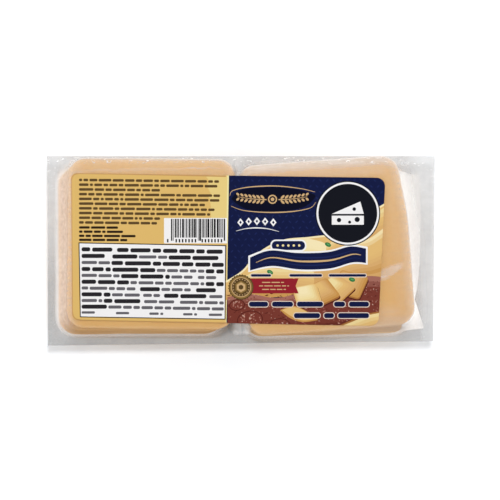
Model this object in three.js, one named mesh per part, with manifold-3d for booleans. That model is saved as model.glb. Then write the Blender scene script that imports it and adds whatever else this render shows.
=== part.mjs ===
// A one-kilogram pack of sliced cheese, lying on its back web with the label up.
// Two stacks of 28 square slices lie side by side in a clear film pack that is
// drawn tight round them, with a flat sealed flange all the way round at about
// mid height and a long self-adhesive label across both stacks.
//
// Millimetres, +Z up. The origin is on the table, under the middle of the flange's
// bounding box. +X runs along the pack, +Y towards the edge that is uppermost in use.

import * as THREE from "three";
import Module from "manifold-3d";
import { mergeVertices } from "three/addons/utils/BufferGeometryUtils.js";

const wasm = await Module();
wasm.setup();

// ---- driving dimensions ----------------------------------------------------
const SLICE_W = 99.5; // a slice, along X
const SLICE_D = 101; // a slice, along Y
const SLICE_R = 10.5; // its corner radius
const SLICE_T = 1.65; // its thickness
const SLICES = 28; // slices in each stack
const FILM_T = 0.15; // one web of film
const STACK_H = SLICES * SLICE_T; // 46.2
const PACK_H = STACK_H + 2 * FILM_T; // height over the film

// The cut edge of the sealed flange: its corners, before they are rounded. The
// lower cut runs slightly askew.
const FLANGE_CORNERS = [
  [-117.7, 57.5],
  [-117.15, -57.5],
  [116.6, -54.83],
  [117.7, 57.5],
];
const FLANGE_T = 0.8; // two webs, with their slight waviness
const FLANGE_Z = 20; // middle of the flange above the table
const FLANGE_R = 1.2; // corner of the cut edge

const TOP_ROUND_IN = 6.5; // how far in from the wall the top starts to roll over
const TOP_ROUND_Z = 5; // and how far it has dropped at the wall
const FOOT_ROUND = 3.5; // the same at the foot, where the slices lie on the table
const TENT_OUT = 3.6; // how far the film stands off the wall at the flange
const TENT_FADE = 3.0; // the height over which it closes on the wall again
const SHEETS_OUT = 6.5; // how much further off it is on the right, over loose sheets

// The label's corners, before they are rounded: it is a little narrower at its
// lower edge, where it follows the turned stack.
const LABEL_CORNERS = [
  [-100.95, 46.25],
  [-100.3, -41.2],
  [81.85, -44.7],
  [86.0, 43.45],
];
const LABEL_R = 3.2; // its corners, on the left
const LABEL_R_RIGHT = 5.0; // and on the right
const LABEL_T = 0.4;
const LABEL_GAP = 0.35; // between the pack's top and the label
const LABEL_SAG = 1.1; // how far it dips between the stacks
const VALLEY_X = -3.2; // middle of the dip
const VALLEY_HALF = 7.0; // and half its width

// Each stack leans a little: its centre and its turn about Z, in degrees, go
// from the foot's values to the top's between two heights.
const LEAN_FROM = 5;
const LEAN_TO = 40;
const LEFT = {
  foot: { x: -61.9, y: -0.2, turn: 0.3 },
  top: { x: -53.6, y: 4.3, turn: -0.6 },
};
const RIGHT = {
  foot: { x: 51.2, y: -0.7, turn: 1.3 },
  top: { x: 50.9, y: 3.3, turn: 4.3 },
};

const BOW = 3.8; // how far the right stack's outer side is drawn in at its upper corner

const SADDLE_FLAT = 34; // the bridge between the stacks is level this far from its middle
const SADDLE_END = 54; // and reaches the flange here
const SADDLE_HALF = 11.5; // half its width, into both stacks

const ARC_STEPS = 7; // facets round a corner
const SIDE_STEPS = 4; // pieces of a straight side

// ---- helpers ---------------------------------------------------------------
const smooth = (t) => {
  const u = Math.min(1, Math.max(0, t));
  return u * u * (3 - 2 * u);
};

/** The points of a rounded rectangle, anticlockwise from above. */
function roundedRing(halfW, halfD, r, arcSteps = ARC_STEPS, sideSteps = SIDE_STEPS) {
  const corners = [
    [halfW - r, halfD - r, 0],
    [-(halfW - r), halfD - r, Math.PI / 2],
    [-(halfW - r), -(halfD - r), Math.PI],
    [halfW - r, -(halfD - r), (3 * Math.PI) / 2],
  ];
  const points = [];
  corners.forEach(([cx, cy, start], i) => {
    for (let k = 0; k <= arcSteps; k++) {
      const a = start + ((Math.PI / 2) * k) / arcSteps;
      points.push(new THREE.Vector2(cx + r * Math.cos(a), cy + r * Math.sin(a)));
    }
    const [nx, ny, nStart] = corners[(i + 1) % 4];
    const from = points[points.length - 1];
    const to = new THREE.Vector2(nx + r * Math.cos(nStart), ny + r * Math.sin(nStart));
    for (let k = 1; k < sideSteps; k++) points.push(from.clone().lerp(to, k / sideSteps));
  });
  return points;
}

/** A closed body from rings of Vector3, lowest first, each anticlockwise from above. */
function loft(rings) {
  const n = rings[0].length;
  const positions = [];
  for (const ring of rings) for (const p of ring) positions.push(p.x, p.y, p.z);
  const index = [];
  for (let i = 0; i + 1 < rings.length; i++) {
    for (let k = 0; k < n; k++) {
      const a = i * n + k;
      const b = i * n + ((k + 1) % n);
      index.push(a, b, b + n, a, b + n, a + n);
    }
  }
  const cap = (ring, up) => {
    const centre = ring.reduce((s, p) => s.add(p), new THREE.Vector3()).divideScalar(n);
    const at = positions.length / 3;
    positions.push(centre.x, centre.y, centre.z);
    const base = up ? (rings.length - 1) * n : 0;
    for (let k = 0; k < n; k++) {
      const a = base + k;
      const b = base + ((k + 1) % n);
      if (up) index.push(a, b, at);
      else index.push(b, a, at);
    }
  };
  cap(rings[0], false);
  cap(rings[rings.length - 1], true);
  const g = new THREE.BufferGeometry();
  g.setAttribute("position", new THREE.Float32BufferAttribute(positions, 3));
  g.setIndex(index);
  return g;
}

function toManifold(geometry) {
  const g = geometry.clone();
  for (const name of Object.keys(g.attributes)) if (name !== "position") g.deleteAttribute(name);
  const merged = mergeVertices(g, 1e-5);
  return new wasm.Manifold(
    new wasm.Mesh({
      numProp: 3,
      vertProperties: new Float32Array(merged.attributes.position.array),
      triVerts: new Uint32Array(merged.index.array),
    }),
  );
}

function toGeometry(manifold) {
  const m = manifold.getMesh();
  const g = new THREE.BufferGeometry();
  g.setAttribute("position", new THREE.Float32BufferAttribute(Float32Array.from(m.vertProperties), 3));
  g.setIndex(Array.from(m.triVerts));
  g.computeVertexNormals();
  return g;
}

/** A four-sided outline, anticlockwise, with each corner rounded to its radius. */
function roundedOutline(corners, radii, steps) {
  const at = corners.map(([x, y]) => new THREE.Vector2(x, y));
  const points = [];
  at.forEach((corner, i) => {
    const before = at[(i + 3) % 4].clone().sub(corner).normalize();
    const after = at[(i + 1) % 4].clone().sub(corner).normalize();
    const from = corner.clone().addScaledVector(before, radii[i]);
    const to = corner.clone().addScaledVector(after, radii[i]);
    const centre = from.clone().addScaledVector(after, radii[i]);
    const a0 = Math.atan2(from.y - centre.y, from.x - centre.x);
    let a1 = Math.atan2(to.y - centre.y, to.x - centre.x);
    if (a1 < a0) a1 += 2 * Math.PI;
    for (let k = 0; k <= steps; k++) {
      const a = a0 + ((a1 - a0) * k) / steps;
      points.push(new THREE.Vector2(centre.x + radii[i] * Math.cos(a), centre.y + radii[i] * Math.sin(a)));
    }
  });
  return new THREE.Shape(points);
}

/** An upright prism of an outline, from z0 to z1. */
function prism(outline, z0, z1) {
  const g = new THREE.ExtrudeGeometry(outline, { depth: z1 - z0, bevelEnabled: false });
  g.translate(0, 0, z0);
  return g;
}

// ---- the film round one stack ----------------------------------------------
/** How far the wall stands in from the slice's own outline at height z; negative is out. */
function inset(z) {
  let v = 0;
  const up = z - (PACK_H - TOP_ROUND_Z);
  if (up > 0) v += TOP_ROUND_IN * (1 - Math.sqrt(Math.max(0, 1 - (up / TOP_ROUND_Z) ** 2)));
  const down = FOOT_ROUND - z;
  if (down > 0) v += FOOT_ROUND * (1 - Math.sqrt(Math.max(0, 1 - (down / FOOT_ROUND) ** 2)));
  return v - FILM_T;
}

/** How far the film stands off the wall, most at the flange. */
const tent = (z, out) => out * Math.exp(-Math.abs(z - FLANGE_Z) / TENT_FADE);

/** The uneven edge of a pile of soft slices: small, slow waves round it and up it. */
const uneven = (turn, z, phase) =>
  0.35 * Math.sin(3 * turn + z / 9 + phase) + 0.25 * Math.sin(5 * turn - z / 6 + 2 * phase);

/** The right stack's outer side is drawn in towards its upper corner. */
const bow = (x, y) => BOW * smooth((y - 6) / 46) * smooth(x / 46);

function stackLevels() {
  const levels = [0];
  for (let k = 1; k <= 3; k++) levels.push(FOOT_ROUND * (1 - Math.cos((Math.PI / 2) * (k / 3))));
  levels.push(9, 13.5, 16.5, 18.4, FLANGE_Z, 21.6, 23.5, 26.5, 31, 36);
  for (let k = 0; k <= 5; k++) levels.push(PACK_H - TOP_ROUND_Z + TOP_ROUND_Z * Math.sin((Math.PI / 2) * (k / 5)));
  return levels;
}

function stackBody(pose, phase, sheetsOut) {
  const rings = stackLevels().map((z) => {
    const t = smooth((z - LEAN_FROM) / (LEAN_TO - LEAN_FROM));
    const cx = THREE.MathUtils.lerp(pose.foot.x, pose.top.x, t);
    const cy = THREE.MathUtils.lerp(pose.foot.y, pose.top.y, t);
    const turn = THREE.MathUtils.degToRad(THREE.MathUtils.lerp(pose.foot.turn, pose.top.turn, t));
    const v = inset(z) - tent(z, TENT_OUT);
    const r = Math.max(4, SLICE_R - v * 0.6);
    const c = Math.cos(turn);
    const s = Math.sin(turn);
    return roundedRing(SLICE_W / 2 - v, SLICE_D / 2 - v, r).map((p) => {
      const round = Math.atan2(p.y, p.x);
      const grow = 1 + (uneven(round, z, phase) * smooth((PACK_H - z) / 9)) / 60; // even under the label
      const right = smooth(p.x / 40) * tent(z, sheetsOut);
      const x = p.x * grow + right - (sheetsOut > 0 ? bow(p.x, p.y) : 0);
      const y = p.y * grow;
      return new THREE.Vector3(cx + x * c - y * s, cy + x * s + y * c, z);
    });
  });
  return loft(rings);
}

// ---- the whole sealed pack -------------------------------------------------
const flangeOutline = roundedOutline(FLANGE_CORNERS, [FLANGE_R, FLANGE_R, FLANGE_R, FLANGE_R], 3);
const flangePlate = toManifold(prism(flangeOutline, FLANGE_Z - FLANGE_T / 2, FLANGE_Z + FLANGE_T / 2));
const cutOutline = toManifold(prism(flangeOutline, -1, PACK_H + 1));

/** The film that bridges the gap between the two stacks: a saddle that sags
 *  between them and falls away to the flange at both ends. */
function saddle() {
  const steps = 18;
  const across = 8;
  const rings = [];
  for (let k = 0; k <= steps; k++) {
    const y = SADDLE_END * Math.sin(((k / steps) * 2 - 1) * (Math.PI / 2));
    const fall = smooth((Math.abs(y) - SADDLE_FLAT) / (SADDLE_END - SADDLE_FLAT));
    const middle = -5.6 - 0.045 * y; // the gap runs a little askew
    const topZ = THREE.MathUtils.lerp(PACK_H - 1.6, FLANGE_Z + 0.1, fall);
    const footZ = THREE.MathUtils.lerp(1.8, FLANGE_Z - 0.1, fall);
    const ring = [];
    for (let j = 0; j <= across; j++) {
      const u = -1 + (2 * j) / across;
      const sag = (1 - fall) * 3.0 * Math.cos((Math.PI / 2) * u) ** 2;
      ring.push(new THREE.Vector3(middle + SADDLE_HALF * u, y + 2.0, topZ - sag));
    }
    for (let j = across; j >= 0; j--) {
      const u = -1 + (2 * j) / across;
      const rise = (1 - fall) * 3.4 * Math.cos((Math.PI / 2) * u) ** 2;
      ring.push(new THREE.Vector3(middle + SADDLE_HALF * u, y + 2.0, footZ + rise));
    }
    rings.push(ring);
  }
  return loft(rings);
}

const sealedPack = toGeometry(
  toManifold(stackBody(LEFT, 0.4, 0))
    .add(toManifold(stackBody(RIGHT, 2.1, SHEETS_OUT)))
    .add(toManifold(saddle()))
    .intersect(cutOutline)
    .add(flangePlate),
);

// ---- the label ---------------------------------------------------------------
/** How far the top has dropped at a point, over one stack: it rolls over near the wall. */
function topDrop(x, y, pose) {
  const turn = THREE.MathUtils.degToRad(pose.top.turn);
  const dx = x - pose.top.x;
  const dy = y - pose.top.y;
  const px = Math.abs(dx * Math.cos(turn) + dy * Math.sin(turn)) - (SLICE_W / 2 - SLICE_R);
  const py = Math.abs(-dx * Math.sin(turn) + dy * Math.cos(turn)) - (SLICE_D / 2 - SLICE_R);
  const away = Math.hypot(Math.max(px, 0), Math.max(py, 0)) + Math.min(Math.max(px, py), 0);
  const v = SLICE_R - away; // how far in from the wall
  if (v >= TOP_ROUND_IN) return 0;
  const drop = (w) => TOP_ROUND_Z * (1 - Math.sqrt(1 - (1 - w / TOP_ROUND_IN) ** 2));
  const near = 1.2; // from here out the label goes straight on
  if (v >= near) return drop(v);
  return drop(near) + (near - v) * ((drop(near) - drop(near + 0.1)) / 0.1);
}

/** The label lies on both stacks, rolls over with their edges and dips between them. */
function labelHeight(x, y) {
  let drop = Math.min(topDrop(x, y, LEFT), topDrop(x, y, RIGHT));
  if (x > LEFT.top.x && x < RIGHT.top.x) {
    const u = Math.min(1, Math.abs(x - VALLEY_X) / VALLEY_HALF);
    drop = Math.min(drop, LABEL_SAG * Math.cos((Math.PI / 2) * u) ** 2);
  }
  return PACK_H + LABEL_GAP - drop;
}

function labelBody() {
  const xs = [-102, -101, -100, -99, -98, -96.5, -95, -92, -60, -30];
  for (let k = 0; k <= 8; k++) xs.push(VALLEY_X - VALLEY_HALF + (2 * VALLEY_HALF * k) / 8);
  xs.push(12, 20, 30, 40, 50, 60, 68, 74, 78, 80, 82, 85, 88);
  const ys = [-47, -45.5, -44.5, -43.5, -42.5, -41, -39.5, -37.5, -35, -30, 0, 30, 36, 39, 41.5, 43.5, 45, 46, 47];
  const nx = xs.length;
  const ny = ys.length;
  const positions = [];
  for (const up of [0, LABEL_T]) for (const y of ys) for (const x of xs) positions.push(x, y, labelHeight(x, y) + up);
  const at = (layer, j, i) => layer * nx * ny + j * nx + i;
  const index = [];
  const quad = (a, b, c, d) => index.push(a, b, c, a, c, d);
  for (let j = 0; j + 1 < ny; j++)
    for (let i = 0; i + 1 < nx; i++) {
      quad(at(1, j, i), at(1, j, i + 1), at(1, j + 1, i + 1), at(1, j + 1, i));
      quad(at(0, j, i), at(0, j + 1, i), at(0, j + 1, i + 1), at(0, j, i + 1));
    }
  for (let i = 0; i + 1 < nx; i++) {
    quad(at(0, 0, i), at(0, 0, i + 1), at(1, 0, i + 1), at(1, 0, i));
    quad(at(0, ny - 1, i + 1), at(0, ny - 1, i), at(1, ny - 1, i), at(1, ny - 1, i + 1));
  }
  for (let j = 0; j + 1 < ny; j++) {
    quad(at(0, j + 1, 0), at(0, j, 0), at(1, j, 0), at(1, j + 1, 0));
    quad(at(0, j, nx - 1), at(0, j + 1, nx - 1), at(1, j + 1, nx - 1), at(1, j, nx - 1));
  }
  const strip = new THREE.BufferGeometry();
  strip.setAttribute("position", new THREE.Float32BufferAttribute(positions, 3));
  strip.setIndex(index);
  const outline = roundedOutline(LABEL_CORNERS, [LABEL_R, LABEL_R, LABEL_R_RIGHT, LABEL_R_RIGHT], 6);
  const cutter = prism(outline, PACK_H - 12, PACK_H + 8);
  return toGeometry(toManifold(strip).intersect(toManifold(cutter)));
}

// ---- scene graph -------------------------------------------------------------
const pack = new THREE.Group();

const packMesh = new THREE.Mesh(
  sealedPack,
  new THREE.MeshStandardMaterial({ color: 0xdcab70, roughness: 0.35, metalness: 0 }),
);
packMesh.name = "sealed_pack";
pack.add(packMesh);

const labelMesh = new THREE.Mesh(
  labelBody(),
  new THREE.MeshStandardMaterial({ color: 0x1a2350, roughness: 0.45, metalness: 0 }),
);
labelMesh.name = "label";
pack.add(labelMesh);

export default pack;
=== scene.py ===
import math
import random

import bpy
import bmesh
import numpy as np
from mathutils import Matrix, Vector, noise
from mathutils.geometry import delaunay_2d_cdt


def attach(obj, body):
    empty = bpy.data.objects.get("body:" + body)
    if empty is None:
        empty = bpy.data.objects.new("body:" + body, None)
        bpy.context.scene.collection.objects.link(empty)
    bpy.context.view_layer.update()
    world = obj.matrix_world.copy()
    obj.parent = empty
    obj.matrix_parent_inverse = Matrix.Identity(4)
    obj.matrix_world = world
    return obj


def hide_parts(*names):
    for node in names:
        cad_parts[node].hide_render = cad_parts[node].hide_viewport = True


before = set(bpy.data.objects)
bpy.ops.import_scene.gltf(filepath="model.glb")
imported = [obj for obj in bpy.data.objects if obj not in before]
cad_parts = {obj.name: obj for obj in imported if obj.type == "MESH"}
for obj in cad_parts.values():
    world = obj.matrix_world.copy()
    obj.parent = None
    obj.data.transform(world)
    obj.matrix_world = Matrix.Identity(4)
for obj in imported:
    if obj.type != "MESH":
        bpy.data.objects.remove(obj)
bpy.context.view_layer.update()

# ---------------------------------------------------------------------------
# sizes, in millimetres, as in the CAD
# ---------------------------------------------------------------------------
MM = 0.001
SLICE_W, SLICE_D, SLICE_R, SLICE_T, SLICES = 99.5, 101.0, 10.5, 1.65, 28
FILM_T = 0.15
STACK_H = SLICES * SLICE_T
PACK_H = STACK_H + 2 * FILM_T
FLANGE_CORNERS = [(-117.67, 57.47), (-117.12, -57.46), (116.57, -54.80), (117.66, 57.47)]
FLANGE_Z = 20.0
TOP_ROUND_IN, TOP_ROUND_Z, FOOT_ROUND = 6.5, 5.0, 3.5
TENT_OUT, TENT_FADE, SHEETS_OUT = 3.6, 3.0, 6.5
LEAN_FROM, LEAN_TO = 5.0, 40.0
LEFT = {"foot": (-61.9, -0.2, 0.3), "top": (-53.6, 4.3, -0.6)}
RIGHT = {"foot": (51.2, -0.7, 1.3), "top": (50.9, 3.3, 4.3)}
LABEL_CORNERS = [(-100.95, 46.25), (-100.3, -41.2), (81.85, -44.7), (86.0, 43.45)]
LABEL_R, LABEL_R_RIGHT = 3.2, 5.0
LABEL_SAG, VALLEY_X, VALLEY_HALF = 1.1, -3.2, 7.0

# the view: the picture is 500 units each way, and one unit is this much at the flange
UNIT = 0.6072
CAM_X, CAM_Y = 5.5, 0.55  # what the middle of the picture looks at
CAM_DIST = 1300.0  # from the flange


def smooth(t):
    u = np.clip(t, 0.0, 1.0)
    return u * u * (3 - 2 * u)


def lerp(a, b, t):
    return a + (b - a) * t


def pose(stack, z):
    t = float(smooth((z - LEAN_FROM) / (LEAN_TO - LEAN_FROM)))
    f, g = stack["foot"], stack["top"]
    return lerp(f[0], g[0], t), lerp(f[1], g[1], t), math.radians(lerp(f[2], g[2], t))


def ring(hw, hd, r, arc, side):
    """A rounded rectangle, anticlockwise from above, as rows of x and y."""
    out = []
    corners = [(hw - r, hd - r, 0.0), (-(hw - r), hd - r, 0.5), (-(hw - r), -(hd - r), 1.0), (hw - r, -(hd - r), 1.5)]
    for i, (cx, cy, start) in enumerate(corners):
        for k in range(arc + 1):
            a = math.pi * (start + 0.5 * k / arc)
            out.append((cx + r * math.cos(a), cy + r * math.sin(a)))
        nx, ny, ns = corners[(i + 1) % 4]
        x0, y0 = out[-1]
        x1, y1 = nx + r * math.cos(math.pi * ns), ny + r * math.sin(math.pi * ns)
        for k in range(1, side):
            t = k / side
            out.append((lerp(x0, x1, t), lerp(y0, y1, t)))
    return np.array(out)


def corner_r(v):
    return max(3.0, SLICE_R - v)


def bow(x, y):
    """The right stack's outer side is drawn in towards its upper corner."""
    return 3.8 * smooth((y - 6) / 46) * smooth(x / 46)


def bowed(points, stack):
    if stack is not RIGHT:
        return points
    out = np.array(points)
    out[:, 0] -= bow(out[:, 0], out[:, 1])
    return out


def placed(points, stack, z):
    """Local points of a stack to the pack's frame, at height z."""
    cx, cy, turn = pose(stack, z)
    c, s = math.cos(turn), math.sin(turn)
    return np.stack([cx + points[:, 0] * c - points[:, 1] * s, cy + points[:, 0] * s + points[:, 1] * c], 1)


def fbm(x, y, z, scale, seed=0.0, octaves=3):
    """Smooth noise of about plus or minus one."""
    v, amp, f, total = 0.0, 1.0, 1.0 / scale, 0.0
    for _ in range(octaves):
        v += amp * noise.noise(Vector((x * f + seed, y * f - seed, z * f + 0.37 * seed)))
        total += amp
        amp *= 0.5
        f *= 2.03
    return v / total * 1.7


def make_object(name, verts, faces, material, smooth_shade=True):
    me = bpy.data.meshes.new(name)
    me.from_pydata([tuple(v) for v in (np.asarray(verts) * MM)], [], faces)
    me.validate()
    me.update()
    ob = bpy.data.objects.new(name, me)
    bpy.context.scene.collection.objects.link(ob)
    if material is not None:
        me.materials.append(material)
    if smooth_shade:
        me.polygons.foreach_set("use_smooth", [True] * len(me.polygons))
    return ob


# ---------------------------------------------------------------------------
# material helpers
# ---------------------------------------------------------------------------
def lin(r, g, b, gain=1.0):
    """A colour given in display values, 0 to 255, as linear light."""
    out = []
    for v in (r, g, b):
        v /= 255.0
        out.append((v / 12.92 if v <= 0.04045 else ((v + 0.055) / 1.055) ** 2.4) * gain)
    return (*out, 1.0)


class Mat:
    """A small helper to lay out a node tree."""

    def __init__(self, name):
        self.m = bpy.data.materials.new(name)
        self.m.use_nodes = True
        self.t = self.m.node_tree
        self.t.nodes.clear()
        self.out = self.t.nodes.new("ShaderNodeOutputMaterial")

    def node(self, kind, **values):
        n = self.t.nodes.new(kind)
        for key, v in values.items():
            if key in n.inputs and not hasattr(type(n), key):
                n.inputs[key].default_value = v
            elif hasattr(n, key):
                setattr(n, key, v)
            else:
                n.inputs[key].default_value = v
        return n

    def link(self, a, b):
        self.t.links.new(a, b)

    def coords(self, scale=(1, 1, 1), rotation=(0, 0, 0)):
        tc = self.node("ShaderNodeTexCoord")
        mp = self.node("ShaderNodeMapping")
        mp.inputs["Scale"].default_value = scale
        mp.inputs["Rotation"].default_value = rotation
        self.link(tc.outputs["Object"], mp.inputs["Vector"])
        return mp.outputs["Vector"]

    def noise(self, vector, scale, detail=3.0, rough=0.5, distortion=0.0):
        n = self.node("ShaderNodeTexNoise")
        n.inputs["Scale"].default_value = scale
        n.inputs["Detail"].default_value = detail
        n.inputs["Roughness"].default_value = rough
        n.inputs["Distortion"].default_value = distortion
        self.link(vector, n.inputs["Vector"])
        return n.outputs["Fac"]

    def remap(self, value, a, b, c, d, clamp=True):
        n = self.node("ShaderNodeMapRange")
        n.clamp = clamp
        for i, v in zip(("From Min", "From Max", "To Min", "To Max"), (a, b, c, d)):
            n.inputs[i].default_value = v
        self.link(value, n.inputs["Value"])
        return n.outputs["Result"]

    def math(self, op, a, b=None, clamp=False):
        n = self.node("ShaderNodeMath")
        n.operation = op
        n.use_clamp = clamp
        for i, v in enumerate((a, b)):
            if v is None:
                continue
            if isinstance(v, (int, float)):
                n.inputs[i].default_value = v
            else:
                self.link(v, n.inputs[i])
        return n.outputs["Value"]

    def mix(self, fac, a, b, mode="MIX"):
        n = self.node("ShaderNodeMix")
        n.data_type = "RGBA"
        n.blend_type = mode
        sockets = [s for s in n.inputs if s.enabled]
        by = {s.name: s for s in sockets}
        for key, v in (("Factor", fac), ("A", a), ("B", b)):
            if isinstance(v, (int, float)):
                by[key].default_value = v
            elif isinstance(v, tuple):
                by[key].default_value = v
            else:
                self.link(v, by[key])
        return [s for s in n.outputs if s.enabled][0]

    def bump(self, height, strength, distance, normal=None):
        n = self.node("ShaderNodeBump")
        n.inputs["Strength"].default_value = strength
        n.inputs["Distance"].default_value = distance
        self.link(height, n.inputs["Height"])
        if normal is not None:
            self.link(normal, n.inputs["Normal"])
        return n.outputs["Normal"]


GAIN = 0.80  # display colours to surface colours, under this light


def cheese_material(name, seed):
    """Pale orange processed cheese: faint mottling, and painted shade that makes it darker towards the lower edge, away
    from the key light.
    """
    m = Mat(name)
    v = m.coords()
    broad = m.noise(v, 26.0 + seed, 3.0, 0.55)
    fine = m.noise(v, 420.0, 4.0, 0.6)
    xyz = m.node("ShaderNodeSeparateXYZ")
    m.link(v, xyz.inputs[0])
    # painted shade: lighter towards the top of the picture, darker towards the lower edge
    up = m.remap(xyz.outputs["Y"], -0.055, 0.055, 0.0, 1.0)
    base = m.mix(up, lin(207, 161, 98), lin(217, 175, 117))
    base = m.mix(m.remap(broad, 0.35, 0.65, 0.0, 0.5), base, lin(217, 175, 111))
    base = m.mix(m.remap(fine, 0.3, 0.7, 0.0, 0.25), base, lin(204, 150, 86))
    p = m.node("ShaderNodeBsdfPrincipled")
    m.link(base, p.inputs["Base Color"])
    m.link(m.remap(fine, 0.3, 0.7, 0.38, 0.55), p.inputs["Roughness"])
    p.inputs["Subsurface Weight"].default_value = 0.12
    p.inputs["Subsurface Radius"].default_value = (1.0, 0.55, 0.25)
    p.inputs["Subsurface Scale"].default_value = 0.002
    p.inputs["Specular IOR Level"].default_value = 0.3
    m.link(m.bump(fine, 0.25, 0.0002), p.inputs["Normal"])
    m.link(p.outputs["BSDF"], m.out.inputs["Surface"])
    return m.m


def sheet_material(name="separator_sheet", gain=0.86):
    m = Mat(name)
    v = m.coords((1, 0.35, 1))
    n = m.noise(v, 120.0, 4.0, 0.6)
    p = m.node("ShaderNodeBsdfPrincipled")
    m.link(m.mix(m.remap(n, 0.35, 0.65, 0, 1), lin(252, 250, 247, gain), lin(244, 239, 236, gain)), p.inputs["Base Color"])
    p.inputs["Roughness"].default_value = 0.6
    m.link(m.bump(n, 0.3, 0.0004), p.inputs["Normal"])
    m.link(p.outputs["BSDF"], m.out.inputs["Surface"])
    return m.m


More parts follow.
